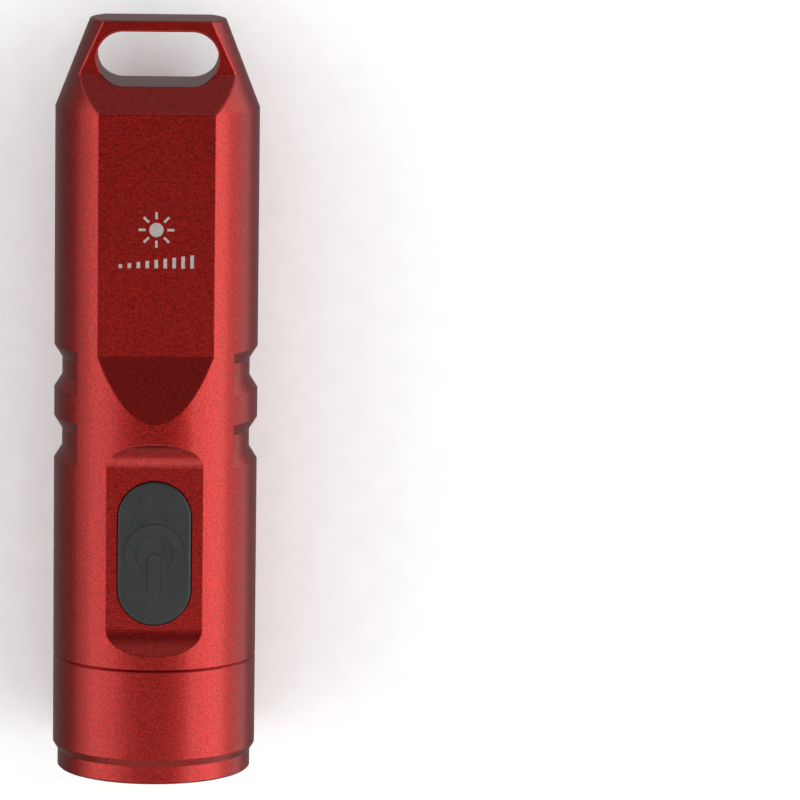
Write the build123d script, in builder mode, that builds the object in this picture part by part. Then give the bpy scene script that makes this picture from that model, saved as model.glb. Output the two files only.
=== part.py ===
"""Keychain flashlight, built as an assembly of separate parts.

The light lies on its side. Its axis runs along Y, the lens faces -Y, the key ring loop is at +Y, the
button faces +Z and the charging port faces -Z. Sizes are in millimetres. A station is a distance from
the front of the light along its axis, and a level is a height above the axis.
"""
from build123d import *
import math
import os

# Overall sizes
overall_length = 55.8
body_radius = 7.5
head_length = 8.5
axis_height = body_radius

# Clearances
seat_gap = 0.02
fit_gap = 0.05
button_gap = 0.075
cover_gap = 0.12
edge_break = 0.12
milled_edge_radius = 0.22

# Head and its front opening
nose_step = 0.35
nose_length = 1.32
shoulder_length = 1.9
rim_lip_width = 0.25
rim_groove_width = 0.06
rim_recess = 0.06
opening_radius = 5.25
lip_bore_radius = 5.0
lip_cone_length = 0.6
lip_length = 0.9
head_bore_radius = 5.5

# Screwed joint between the head and the body
spigot_step = 1.35
spigot_length = 2.5
seal_groove_depth = 0.3
seal_bore_step = 0.25
seal_groove_start = 0.2
seal_groove_width = 0.7
seal_land = 1.0

# Lens, its seat and the emitter
gasket_thickness = 0.3
lens_face_station = 0.65
lens_flange_thickness = 0.8
lens_cone_radius = 4.95
lens_back_radius = 2.35
lens_length = 6.55
lens_bulge = 0.45
lens_well_radius = 2.175
lens_well_floor_radius = 1.565
lens_well_depth = 2.55
lens_well_dome = 0.5
lens_pocket_radius = 1.75
lens_pocket_depth = 1.6
holder_gap = 0.17
holder_bore_radius = 2.55
emitter_gap = 0.3
substrate_width = 3.45
substrate_thickness = 0.4
phosphor_width = 1.3
phosphor_thickness = 0.1
dome_radius = 1.3
led_board_thickness = 1.0
spreader_inset = 0.4

# Flats, taper and key ring loop at the tail
ramp_start = 26.8
flat_start = 31.6
flat_depth = 1.31
flat_end_from_tail = 6.5
tab_level = 3.1
tab_start_from_tail = 3.9
tail_taper = 2.53
bore_end_wall = 1.7
slot_width = 8.9
slot_height = 3.9
loop_bar = 0.8

# Grooves for a spring clip
groove_starts = (23.2, 28.5)
groove_width = 3.2
groove_floor_width = 1.35
groove_depth = 0.59
groove_floor_fillet = 0.35
groove_arc = 79.2

# Button and its pocket
pocket_setback = 1.15
pocket_length = 15.65
pocket_depth = 0.88
pocket_ramp = 1.85
button_width = 5.35
button_length = 10.6
button_inset = 7.5
button_height = 0.3
button_edge = 0.2
flange_margin = 0.7
flange_thickness = 0.55
nub_radius = 1.3
symbol_ring_radius = 2.2
symbol_ring_width = 0.8
symbol_bar_width = 0.95
symbol_bar_reach = 3.0
symbol_gap_angle = 108
symbol_height = 0.08

# Electronics bay and battery bore
wall = 1.6
carrier_end_thickness = 0.6
battery_radius = 5.0
battery_wrap_thickness = 0.08
battery_bore_gap = 0.12
battery_front_gap = 0.4
battery_pad_thickness = 0.45
battery_edge = 0.4

# Main board and what it carries
board_level = -0.1
board_thickness = 0.8
switch_inset = 4.55
board_edge_depth = 0.75
carrier_thickness = 1.15
carrier_half_height = 1.8
switch_width = 5.2
switch_base_height = 2.2
switch_cover_thickness = 0.25
stem_radius = 1.2
stem_height = 2.6
stem_flange_radius = 1.6
stem_flange_thickness = 0.4
dome_disc_thickness = 0.12
button_travel = 0.35
nub_gap = 0.05

# Charging port and its cover
port_inset = 0.6
usb_length = 7.5
usb_width = 2.5
usb_wall = 0.25
usb_back = 0.45
usb_corner = 0.7
tongue_length = 5.0
tongue_width = 0.7
tongue_recess = 0.55
contact_width = 0.35
contact_pitch = 0.65
contact_count = 5
contact_thickness = 0.1
contact_recess = 0.3
port_margin = 0.25
port_corner = 0.8
cover_seat = 0.95
cover_fold_reach = 1.1
cover_anchor_length = 2.95
cover_width = 6.2
cover_inset = 0.08
cover_fold_gap = 0.3
cover_plug_gap = 0.2
cover_plug_tip_gap = 0.15
anchor_reach = 1.35
anchor_stub_radius = 0.9
anchor_head_radius = 1.2
anchor_head_thickness = 0.4
anchor_head_sink = 0.16

# Small parts on the main board
chip_width = 3.0
chip_height = 0.75
chip_across = 2.4
inductor_width = 3.2
inductor_height = 1.4
charger_width = 2.9
charger_length = 1.3
indicator_width = 0.8
indicator_length = 1.2
indicator_height = 0.5
indicator_across = 3.6
passive_length = 1.6
passive_width = 0.8
passive_height = 0.6
passive_across = 3.1
passive_rows = 6
passive_margin = 1.2
passive_pitch = 1.9

# Wires and battery tabs
tab_width = 1.6
tab_length = 3.0
tab_thickness = 0.15
wire_radius = 0.3
wire_level = 0.9
wire_bend = 0.6
led_wire_across = 3.4
battery_wire_across = 3.0

# Radii and levels that follow from the sizes above
nose_radius = body_radius - nose_step
rim_lip_radius = nose_radius - rim_lip_width
spigot_radius = body_radius - spigot_step
socket_radius = spigot_radius + fit_gap
seal_groove_radius = spigot_radius - seal_groove_depth
seal_bore_radius = socket_radius + seal_bore_step
seal_radius = (seal_bore_radius - seal_groove_radius - seat_gap) / 2
module_radius = head_bore_radius - fit_gap
flat_level = body_radius - flat_depth
tail_radius = body_radius - tail_taper
pocket_floor = body_radius - pocket_depth
button_top = pocket_floor + button_height
bay_radius = body_radius - wall
carrier_radius = bay_radius - fit_gap
carrier_inner_radius = carrier_radius - carrier_thickness
board_half_width = carrier_radius - board_edge_depth
battery_bore_radius = battery_radius + battery_wrap_thickness + battery_bore_gap
board_top = board_level
board_bottom = board_level - board_thickness
switch_top = board_top + switch_base_height
switch_well_depth = stem_flange_thickness + button_travel + dome_disc_thickness + 2 * fit_gap
switch_cover_top = switch_top + switch_cover_thickness
stem_top = switch_cover_top + stem_height
nub_bottom = stem_top + nub_gap
usb_mouth = -carrier_radius
cover_radius = body_radius - cover_inset

# Stations that follow from the sizes above, from the lens to the tail
spigot_end = head_length + spigot_length
lens_flange_station = lip_length + gasket_thickness
lens_cone_station = lens_flange_station + lens_flange_thickness
lens_end = lens_face_station + lens_length
substrate_front = lens_end + emitter_gap
led_board_front = substrate_front + substrate_thickness
led_board_back = led_board_front + led_board_thickness
spreader_back = spigot_end - spreader_inset
pocket_start = head_length + pocket_setback
pocket_end = pocket_start + pocket_length
button_station = pocket_start + button_inset
board_start = button_station - switch_inset
port_length = usb_length + 2 * port_margin
port_width = usb_width + 2 * port_margin
port_station = board_start + port_inset + usb_length / 2
cover_start = port_station - port_length / 2 - cover_seat
cover_hinge_station = port_station + port_length / 2 + cover_fold_reach
cover_end = cover_hinge_station + cover_anchor_length
anchor_station = cover_hinge_station + anchor_reach
board_end = anchor_station + anchor_head_radius
board_length = board_end - board_start
bay_end = board_end + carrier_end_thickness
battery_start = bay_end + battery_front_gap
taper_start = overall_length - flat_end_from_tail
tab_start = overall_length - tab_start_from_tail
slot_station = overall_length - loop_bar - slot_height / 2
battery_bore_end = taper_start - bore_end_wall
battery_end = battery_bore_end - fit_gap - battery_pad_thickness


def y_of(station):
    """The Y position of a station."""
    return station - overall_length / 2


def section(station):
    """A plane across the light. Its X is the width and its Y is up; it faces the lens."""
    return Plane(origin=(0, y_of(station), axis_height), x_dir=(1, 0, 0), z_dir=(0, -1, 0))


def level(height):
    """A level plane at a height above the axis. Its X is the width and its Y is the station."""
    return Plane(origin=(0, y_of(0), axis_height + height), x_dir=(1, 0, 0), z_dir=(0, 0, 1))


side_plane = Plane(origin=(0, y_of(0), axis_height), x_dir=(0, 1, 0), z_dir=(1, 0, 0))
light_axis = Axis((0, 0, axis_height), (0, 1, 0))


def turn(points, mode=Mode.ADD):
    """Turn an outline of (station, radius) points round the light's axis."""
    with BuildSketch(side_plane) as outline:
        with BuildLine():
            Polyline(*points, close=True)
        make_face()
    revolve(outline.sketch, axis=light_axis, mode=mode)


def ring(start, end, outer, inner=0, mode=Mode.ADD):
    """A round disc or ring on the light's axis, between two stations."""
    turn([(start, inner), (end, inner), (end, outer), (start, outer)], mode)


def block(width, length, station, low, high, across=0, mode=Mode.ADD):
    """A box between two levels, centred on a station."""
    with BuildSketch(level(low)) as outline:
        with Locations((across, station)):
            Rectangle(width, length)
    extrude(outline.sketch, amount=high - low, mode=mode)


def stadium(width, length, station, low, high, mode=Mode.ADD):
    """An upright solid with full-round ends that runs along the light, between two levels."""
    with BuildSketch(level(low)) as outline:
        with Locations((0, station)):
            SlotOverall(length, width, rotation=90)
    extrude(outline.sketch, amount=high - low, mode=mode)


def post(radius, station, low, high, across=0, mode=Mode.ADD):
    """An upright round post between two levels."""
    with BuildSketch(level(low)) as outline:
        with Locations((across, station)):
            Circle(radius)
    extrude(outline.sketch, amount=high - low, mode=mode)


def axis_distance(point):
    """How far a point is from the light's axis."""
    return math.hypot(point.X, point.Z - axis_height)


def outline_edges(edges):
    """The edges that lie on the outside of the round body."""
    return edges.filter_by(lambda edge: abs(axis_distance(edge @ 0.5) - body_radius) < seat_gap / 2)


def save(part, name):
    """Label a finished piece and write its file."""
    part.label = name
    export_step(part, f"parts/{name}.step")


os.makedirs("parts", exist_ok=True)

# Body: one turned and milled tube with the key ring loop at its tail
ramp_slope = (body_radius - flat_level) / (flat_start - ramp_start)
outside = 1
with BuildPart() as body_shell:
    turn(
        [
            (head_length, 0),
            (head_length, body_radius - edge_break),
            (head_length + edge_break, body_radius),
            (taper_start, body_radius),
            (overall_length, tail_radius),
            (overall_length, 0),
        ]
    )
    with BuildSketch(side_plane) as side_outline:
        with BuildLine() as upper:
            Polyline(
                (head_length, 0),
                (head_length, body_radius + outside),
                (ramp_start - outside / ramp_slope, body_radius + outside),
                (flat_start, flat_level),
                (taper_start, flat_level),
                (tab_start, tab_level),
                (overall_length, tab_level),
                (overall_length, 0),
            )
            mirror(upper.line, about=Plane.XZ)
        make_face()
    extrude(amount=body_radius + outside, both=True, mode=Mode.INTERSECT)
    milled_edges = body_shell.edges().filter_by_position(Axis.Y, y_of(ramp_start), y_of(overall_length))
    fillet(milled_edges, milled_edge_radius)

    with BuildSketch(level(0)):
        with Locations((0, slot_station)):
            SlotOverall(slot_width, slot_height)
    extrude(amount=body_radius, both=True, mode=Mode.SUBTRACT)
    fillet(body_shell.edges(Select.LAST).filter_by(Axis.Z, reverse=True), edge_break)

    wall_run = (groove_width - groove_floor_width) / 2
    flare = outside * wall_run / groove_depth
    for side_angle in (90, 270):
        groove_angle = math.radians(side_angle - groove_arc / 2)
        for start in groove_starts:
            groove_plane = Plane(
                origin=(0, y_of(start), axis_height),
                x_dir=(0, 1, 0),
                z_dir=(math.cos(groove_angle), 0, -math.sin(groove_angle)),
            )
            with BuildSketch(groove_plane) as groove:
                with BuildLine():
                    Polyline(
                        (-flare, body_radius + outside),
                        (wall_run, body_radius - groove_depth),
                        (groove_width - wall_run, body_radius - groove_depth),
                        (groove_width + flare, body_radius + outside),
                        close=True,
                    )
                make_face()
                fillet(groove.vertices().group_by(Axis.Y)[0], groove_floor_fillet)
            revolve(axis=light_axis, revolution_arc=groove_arc, mode=Mode.SUBTRACT)
            fillet(outline_edges(body_shell.edges(Select.LAST)), edge_break)

    with BuildSketch(side_plane):
        with BuildLine():
            front_corner = (pocket_start + pocket_ramp, pocket_floor)
            back_corner = (pocket_end - pocket_ramp, pocket_floor)
            Line(front_corner, back_corner)
            TangentArc(back_corner, (pocket_end, body_radius), tangent=(1, 0))
            Polyline(
                (pocket_end, body_radius),
                (pocket_end, body_radius + outside),
                (pocket_start, body_radius + outside),
                (pocket_start, body_radius),
            )
            TangentArc(front_corner, (pocket_start, body_radius), tangent=(-1, 0))
        make_face()
    extrude(amount=body_radius, both=True, mode=Mode.SUBTRACT)
    fillet(outline_edges(body_shell.edges(Select.LAST)), edge_break)

    ring(head_length, head_length + seal_land, seal_bore_radius, mode=Mode.SUBTRACT)
    ring(head_length, spigot_end + fit_gap, socket_radius, mode=Mode.SUBTRACT)
    ring(head_length, bay_end, bay_radius, mode=Mode.SUBTRACT)
    ring(head_length, battery_bore_end, battery_bore_radius, mode=Mode.SUBTRACT)
    stadium(
        button_width + 2 * button_gap,
        button_length + 2 * button_gap,
        button_station,
        0,
        body_radius,
        mode=Mode.SUBTRACT,
    )
    cover_middle = (cover_start + cover_end) / 2
    stadium(
        cover_width + 2 * cover_gap,
        cover_end - cover_start + 2 * cover_gap,
        cover_middle,
        -body_radius - outside,
        -pocket_floor,
        mode=Mode.SUBTRACT,
    )
    with BuildSketch(level(-body_radius)):
        with Locations((0, port_station)):
            RectangleRounded(port_width, port_length, port_corner)
    extrude(amount=body_radius, mode=Mode.SUBTRACT)
    post(anchor_stub_radius + seat_gap, anchor_station, -body_radius, 0, mode=Mode.SUBTRACT)
save(body_shell.part, "body_shell")

# Head: the bezel that holds the lens and screws into the body
with BuildPart() as head_bezel:
    turn(
        [
            (rim_recess + fit_gap, opening_radius),
            (rim_recess, opening_radius + fit_gap),
            (rim_recess, rim_lip_radius - rim_groove_width),
            (2 * rim_recess, rim_lip_radius - rim_groove_width / 2),
            (0, rim_lip_radius),
            (0, nose_radius - edge_break),
            (edge_break, nose_radius),
            (nose_length, nose_radius),
            (shoulder_length, body_radius),
            (head_length - edge_break, body_radius),
            (head_length, body_radius - edge_break),
            (head_length, spigot_radius),
            (head_length + seal_groove_start, spigot_radius),
            (head_length + seal_groove_start, seal_groove_radius),
            (head_length + seal_groove_start + seal_groove_width, seal_groove_radius),
            (head_length + seal_groove_start + seal_groove_width, spigot_radius),
            (spigot_end - edge_break, spigot_radius),
            (spigot_end, spigot_radius - edge_break),
            (spigot_end, head_bore_radius),
            (lip_length, head_bore_radius),
            (lip_length, lip_bore_radius),
            (lip_cone_length, lip_bore_radius),
        ]
    )
save(head_bezel.part, "head_bezel")

with BuildPart() as head_seal:
    seal_station = head_length + seal_groove_start + seal_groove_width / 2
    with BuildSketch(side_plane):
        with Locations((seal_station, (seal_groove_radius + seal_bore_radius) / 2)):
            Circle(seal_radius)
    revolve(axis=light_axis)
save(head_seal.part, "head_seal")

# Lens and emitter
with BuildPart() as lens_gasket:
    ring(lip_length, lens_flange_station, module_radius, lip_bore_radius)
save(lens_gasket.part, "lens_gasket")

with BuildPart() as lens:
    with BuildSketch(side_plane):
        with BuildLine():
            well_floor = lens_face_station + lens_well_depth
            pocket_top = lens_end - lens_pocket_depth
            Polyline(
                (well_floor, lens_well_floor_radius),
                (lens_face_station, lens_well_radius),
                (lens_face_station, lip_bore_radius - fit_gap),
                (lens_flange_station, lip_bore_radius - fit_gap),
                (lens_flange_station, module_radius),
                (lens_cone_station, module_radius),
                (lens_cone_station, lens_cone_radius),
            )
            cone_middle = (lens_cone_station + lens_end) / 2 + lens_bulge / 2
            cone_radius = (lens_cone_radius + lens_back_radius) / 2 + lens_bulge
            ThreePointArc(
                (lens_cone_station, lens_cone_radius),
                (cone_middle, cone_radius),
                (lens_end, lens_back_radius),
            )
            Polyline(
                (lens_end, lens_back_radius),
                (lens_end, lens_pocket_radius),
                (pocket_top, lens_pocket_radius),
                (pocket_top, 0),
                (well_floor - lens_well_dome, 0),
            )
            dome_rise = lens_well_dome
            dome_curve = (lens_well_floor_radius**2 + dome_rise**2) / (2 * dome_rise)
            RadiusArc(
                (well_floor - dome_rise, 0),
                (well_floor, lens_well_floor_radius),
                dome_curve,
            )
        make_face()
    revolve(axis=light_axis)
save(lens.part, "lens")

with BuildPart() as lens_holder:
    with BuildSketch(side_plane):
        with BuildLine():
            Polyline(
                (lens_cone_station, lens_cone_radius + holder_gap),
                (lens_cone_station, module_radius),
                (led_board_front, module_radius),
                (led_board_front, holder_bore_radius),
                (lens_end, holder_bore_radius),
            )
            ThreePointArc(
                (lens_cone_station, lens_cone_radius + holder_gap),
                (cone_middle + holder_gap / 2, cone_radius + holder_gap),
                (lens_end, holder_bore_radius),
            )
        make_face()
    revolve(axis=light_axis)
save(lens_holder.part, "lens_holder")

with BuildPart() as led_substrate:
    with BuildSketch(section(led_board_front)):
        RectangleRounded(substrate_width, substrate_width, edge_break)
    extrude(amount=substrate_thickness)
save(led_substrate.part, "led_substrate")

with BuildPart() as led_phosphor:
    with BuildSketch(section(substrate_front)):
        Rectangle(phosphor_width, phosphor_width)
    extrude(amount=phosphor_thickness)
save(led_phosphor.part, "led_phosphor")

with BuildPart() as led_dome:
    with BuildSketch(side_plane):
        with Locations((substrate_front, 0)):
            Circle(dome_radius)
            Rectangle(dome_radius, 2 * dome_radius, align=(Align.MIN, Align.CENTER), mode=Mode.SUBTRACT)
        with Locations((substrate_front, 0)):
            Rectangle(2 * dome_radius, dome_radius, align=(Align.CENTER, Align.MAX), mode=Mode.SUBTRACT)
    revolve(axis=light_axis)
    with BuildSketch(section(substrate_front)):
        Rectangle(phosphor_width, phosphor_width)
    extrude(amount=phosphor_thickness, mode=Mode.SUBTRACT)
save(led_dome.part, "led_dome")

with BuildPart() as led_board:
    ring(led_board_front, led_board_back, module_radius)
save(led_board.part, "led_board")

with BuildPart() as heat_spreader:
    ring(led_board_back, spreader_back, module_radius)
    with BuildSketch(section(spreader_back)):
        with Locations((led_wire_across, wire_level), (-led_wire_across, wire_level)):
            Circle(wire_radius + fit_gap)
    extrude(amount=spreader_back - led_board_back, mode=Mode.SUBTRACT)
save(heat_spreader.part, "heat_spreader")

# Main board in its carrier
with BuildPart() as board_carrier:
    ring(board_start, board_end + fit_gap, carrier_radius, carrier_inner_radius)
    block(
        2 * body_radius,
        board_length + 2 * fit_gap,
        (board_start + board_end + fit_gap) / 2,
        carrier_half_height,
        body_radius,
        mode=Mode.SUBTRACT,
    )
    block(
        2 * body_radius,
        board_length + 2 * fit_gap,
        (board_start + board_end + fit_gap) / 2,
        -body_radius,
        -carrier_half_height,
        mode=Mode.SUBTRACT,
    )
    block(
        2 * board_half_width + 2 * seat_gap,
        board_length + fit_gap,
        (board_start + board_end + fit_gap) / 2,
        board_bottom - seat_gap,
        board_top + seat_gap,
        mode=Mode.SUBTRACT,
    )
    ring(board_end + fit_gap, bay_end, carrier_radius)
    with BuildSketch(section(bay_end)):
        with Locations((battery_wire_across, wire_level), (-battery_wire_across, wire_level)):
            Circle(wire_radius + fit_gap)
    extrude(amount=bay_end - board_end, mode=Mode.SUBTRACT)
save(board_carrier.part, "board_carrier")

with BuildPart() as main_board:
    block(2 * board_half_width, board_length, (board_start + board_end) / 2, board_bottom, board_top)
save(main_board.part, "main_board")

# Switch under the button
with BuildPart() as switch_base:
    block(switch_width, switch_width, button_station, board_top, switch_top)
    post(
        stem_flange_radius + fit_gap,
        button_station,
        switch_top - switch_well_depth,
        switch_top,
        mode=Mode.SUBTRACT,
    )
save(switch_base.part, "switch_base")

with BuildPart() as switch_cover:
    block(switch_width, switch_width, button_station, switch_top, switch_cover_top)
    post(stem_radius + fit_gap, button_station, switch_top, switch_cover_top, mode=Mode.SUBTRACT)
save(switch_cover.part, "switch_cover")

with BuildPart() as switch_disc:
    disc_level = switch_top - switch_well_depth
    post(stem_flange_radius, button_station, disc_level, disc_level + dome_disc_thickness)
save(switch_disc.part, "switch_disc")

with BuildPart() as switch_stem:
    post(
        stem_flange_radius,
        button_station,
        switch_top - fit_gap - stem_flange_thickness,
        switch_top - fit_gap,
    )
    post(stem_radius, button_station, switch_top - fit_gap, stem_top)
save(switch_stem.part, "switch_stem")

# Silicone button with a raised power symbol
with BuildPart() as button:
    flange_length = button_length + 2 * flange_margin
    flange_width = button_width + 2 * flange_margin
    stadium(flange_width, flange_length, button_station, 0, body_radius)
    flange_top = carrier_radius
    ring(
        button_station - button_length,
        button_station + button_length,
        flange_top,
        flange_top - flange_thickness,
        mode=Mode.INTERSECT,
    )
    stadium(button_width, button_length, button_station, flange_top - flange_thickness, button_top)
    rim = button.faces().sort_by(Axis.Z)[-1].edges()
    fillet(rim, button_edge)
    post(nub_radius, button_station, nub_bottom, flange_top)
    with BuildSketch(level(button_top)):
        with BuildLine(mode=Mode.PRIVATE):
            ring_middle = CenterArc(
                (0, button_station),
                symbol_ring_radius - symbol_ring_width / 2,
                symbol_gap_angle / 2 - 90,
                360 - symbol_gap_angle,
            )
        SlotArc(ring_middle, symbol_ring_width)
        with Locations((0, button_station - symbol_bar_reach / 2)):
            SlotOverall(symbol_bar_reach, symbol_bar_width, rotation=90)
    extrude(amount=symbol_height)
save(button.part, "button")

# Charging socket on the underside of the main board
usb_half = usb_length / 2
usb_outline = [
    (-usb_width / 2, port_station - usb_half),
    (usb_width / 2 - usb_corner, port_station - usb_half),
    (usb_width / 2, port_station - usb_half + usb_corner),
    (usb_width / 2, port_station + usb_half - usb_corner),
    (usb_width / 2 - usb_corner, port_station + usb_half),
    (-usb_width / 2, port_station + usb_half),
]
with BuildPart() as usb_shell:
    with BuildSketch(level(usb_mouth)):
        with BuildLine():
            Polyline(*usb_outline, close=True)
        make_face()
    extrude(amount=board_bottom - usb_mouth)
    with BuildSketch(level(usb_mouth)):
        with BuildLine():
            Polyline(*usb_outline, close=True)
        make_face()
        offset(amount=-usb_wall, kind=Kind.INTERSECTION)
    extrude(amount=board_bottom - usb_back - usb_mouth, mode=Mode.SUBTRACT)
save(usb_shell.part, "usb_shell")

tongue_tip = usb_mouth + tongue_recess
tongue_root = board_bottom - usb_back
with BuildPart() as usb_tongue:
    block(tongue_width, tongue_length, port_station, tongue_tip, tongue_root)
save(usb_tongue.part, "usb_tongue")

with BuildPart() as usb_contacts:
    for index in range(contact_count):
        block(
            contact_thickness,
            contact_width,
            port_station + (index - (contact_count - 1) / 2) * contact_pitch,
            tongue_tip + contact_recess,
            tongue_root,
            across=(tongue_width + contact_thickness) / 2,
        )
save(usb_contacts.part, "usb_contacts")

# Parts soldered on the main board
rear_station = (button_station + switch_width / 2 + board_end) / 2
front_station = (board_start + button_station - switch_width / 2) / 2
with BuildPart() as controller_chip:
    block(chip_width, chip_width, rear_station, board_top, board_top + chip_height, across=-chip_across)
save(controller_chip.part, "controller_chip")

with BuildPart() as power_inductor:
    block(
        inductor_width,
        inductor_width,
        rear_station,
        board_top,
        board_top + inductor_height,
        across=chip_across,
    )
    fillet(power_inductor.edges().filter_by(Axis.Z), edge_break * 3)
save(power_inductor.part, "power_inductor")

with BuildPart() as charger_chip:
    block(charger_width, charger_length, front_station, board_top, board_top + chip_height)
save(charger_chip.part, "charger_chip")

with BuildPart() as indicator_leds:
    for across in (-indicator_across, indicator_across):
        block(
            indicator_width,
            indicator_length,
            button_station,
            board_top,
            board_top + indicator_height,
            across=across,
        )
save(indicator_leds.part, "indicator_leds")

with BuildPart() as board_passives:
    for across in (-passive_across, passive_across):
        for step in range(passive_rows):
            block(
                passive_length,
                passive_width,
                board_start + passive_margin + step * passive_pitch,
                board_bottom - passive_height,
                board_bottom,
                across=across,
            )
save(board_passives.part, "board_passives")

# Battery
with BuildPart() as battery_cell:
    ring(battery_start, battery_end, battery_radius)
    fillet(battery_cell.edges().filter_by(GeomType.CIRCLE), battery_edge)
save(battery_cell.part, "battery_cell")

with BuildPart() as battery_wrap:
    ring(
        battery_start + battery_edge,
        battery_end - battery_edge,
        battery_radius + battery_wrap_thickness,
        battery_radius,
    )
save(battery_wrap.part, "battery_wrap")

with BuildPart() as battery_pad:
    ring(battery_end, battery_end + battery_pad_thickness, battery_radius - battery_edge)
save(battery_pad.part, "battery_pad")

with BuildPart() as battery_tabs:
    for across in (-battery_wire_across, battery_wire_across):
        with BuildSketch(section(battery_start)):
            with Locations((across, 0)):
                Rectangle(tab_width, tab_length)
        extrude(amount=tab_thickness)
save(battery_tabs.part, "battery_tabs")


def lead(across, start, landing, toward):
    """A wire that runs along the light and bends down onto the main board at a landing station."""
    end = landing - toward * wire_bend
    with BuildLine() as path:
        Line((across, y_of(start), axis_height + wire_level), (across, y_of(end), axis_height + wire_level))
        bend_end = (across, y_of(landing), axis_height + wire_level - wire_bend)
        TangentArc(path.line @ 1, bend_end, tangent=(0, toward, 0))
        Line(path.line @ 1, (bend_end[0], bend_end[1], axis_height + board_top))
    start_plane = Plane(origin=path.line @ 0, z_dir=path.line % 0)
    with BuildSketch(start_plane) as bore:
        Circle(wire_radius)
    sweep(bore.sketch, path=path.line)


for across, pole in ((-led_wire_across, "negative"), (led_wire_across, "positive")):
    with BuildPart() as led_lead:
        lead(across, led_board_back, board_start + wire_radius + fit_gap, 1)
    save(led_lead.part, f"led_lead_{pole}")

for across, pole in ((-battery_wire_across, "negative"), (battery_wire_across, "positive")):
    with BuildPart() as battery_lead:
        lead(across, battery_start - tab_thickness, board_end - wire_radius - fit_gap, -1)
    save(battery_lead.part, f"battery_lead_{pole}")

# Silicone cover over the charging port, and the part of it that stays fixed in the body
with BuildPart() as port_cover:
    stadium(cover_width, cover_end - cover_start, cover_middle, -body_radius, -pocket_floor - seat_gap)
    ring(cover_start, cover_end, cover_radius, mode=Mode.INTERSECT)
    block(
        2 * cover_width,
        cover_width,
        cover_hinge_station - cover_fold_gap / 2 + cover_width / 2,
        -body_radius,
        0,
        mode=Mode.SUBTRACT,
    )
    plug_length = port_length - 2 * cover_plug_gap
    plug_width = port_width - 2 * cover_plug_gap
    with BuildSketch(level(-pocket_floor - seat_gap)):
        with Locations((0, port_station)):
            RectangleRounded(plug_width, plug_length, port_corner - cover_plug_gap)
    extrude(amount=pocket_floor + seat_gap + usb_mouth - cover_plug_tip_gap)
save(port_cover.part, "port_cover")

with BuildPart() as port_cover_anchor:
    stadium(cover_width, cover_end - cover_start, cover_middle, -body_radius, -pocket_floor)
    ring(cover_start, cover_end, cover_radius, mode=Mode.INTERSECT)
    block(
        2 * cover_width,
        cover_hinge_station + cover_fold_gap / 2 - cover_start,
        (cover_start + cover_hinge_station + cover_fold_gap / 2) / 2,
        -body_radius,
        0,
        mode=Mode.SUBTRACT,
    )
    head_level = -(bay_radius - anchor_head_sink)
    post(anchor_stub_radius, anchor_station, -pocket_floor, head_level)
    post(anchor_head_radius, anchor_station, head_level, head_level + anchor_head_thickness)
save(port_cover_anchor.part, "port_cover_anchor")
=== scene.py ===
"""Keychain flashlight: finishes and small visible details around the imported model."""

import math

import bmesh
import bpy
from mathutils import Matrix, Vector


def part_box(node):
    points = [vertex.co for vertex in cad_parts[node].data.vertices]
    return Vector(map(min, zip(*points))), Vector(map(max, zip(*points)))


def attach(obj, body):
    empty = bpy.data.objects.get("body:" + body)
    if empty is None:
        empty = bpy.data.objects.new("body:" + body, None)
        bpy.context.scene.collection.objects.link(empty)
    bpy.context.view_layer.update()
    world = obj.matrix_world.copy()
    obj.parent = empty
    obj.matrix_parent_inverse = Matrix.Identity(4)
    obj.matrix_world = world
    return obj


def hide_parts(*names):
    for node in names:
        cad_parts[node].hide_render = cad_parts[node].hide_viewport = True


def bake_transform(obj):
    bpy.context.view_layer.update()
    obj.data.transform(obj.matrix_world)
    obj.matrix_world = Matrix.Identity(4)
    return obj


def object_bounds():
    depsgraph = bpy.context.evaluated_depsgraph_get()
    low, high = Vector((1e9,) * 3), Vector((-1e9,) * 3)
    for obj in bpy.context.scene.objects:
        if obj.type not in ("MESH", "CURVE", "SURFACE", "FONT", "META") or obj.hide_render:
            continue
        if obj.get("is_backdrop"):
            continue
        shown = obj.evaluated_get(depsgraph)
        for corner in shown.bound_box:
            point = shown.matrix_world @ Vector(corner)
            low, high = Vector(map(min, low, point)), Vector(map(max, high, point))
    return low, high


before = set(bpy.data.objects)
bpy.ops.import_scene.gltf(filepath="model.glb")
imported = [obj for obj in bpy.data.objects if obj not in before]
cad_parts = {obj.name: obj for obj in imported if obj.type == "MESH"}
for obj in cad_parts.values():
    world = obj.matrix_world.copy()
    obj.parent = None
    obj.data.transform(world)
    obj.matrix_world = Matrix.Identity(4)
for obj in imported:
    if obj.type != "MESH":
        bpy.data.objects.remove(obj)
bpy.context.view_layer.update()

bl_info = {
    "name": "Keychain flashlight",
    "version": (1, 0, 0),
    "blender": (4, 5, 0),
    "location": "View3D > Sidebar > Flashlight",
    "description": "Finishes the keychain flashlight and adds its lens, marks and soft parts",
    "category": "Object",
}

MM = 0.001
AXIS_LEVEL = (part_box("body_shell")[0][2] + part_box("body_shell")[1][2]) / 2
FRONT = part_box("head_bezel")[0][1]
BODY_RADIUS = (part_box("body_shell")[1][0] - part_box("body_shell")[0][0]) / 2
BLACK = (0.0, 0.0, 0.0)

# Corners sharper than this many degrees stay hard
SHARP_ANGLE = 32

# The neck strip: its steps along and across, how far its ends run in, how much its middle narrows
NECK_ROWS = 20
NECK_SIDES = 12
NECK_OVERLAP = 0.9 * MM
NECK_WAIST = 0.12

# The lens: its sides round the axis, the well's soft edge, the flange behind the face and the cone
LENS_SIDES = 192
WELL_SOFT_EDGE = 0.035 * MM
FLANGE_START = 0.55 * MM
FLANGE_END = 1.35 * MM
FLANGE_CHAMFER = 0.05 * MM
CONE_BULGE = 0.35 * MM

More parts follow.
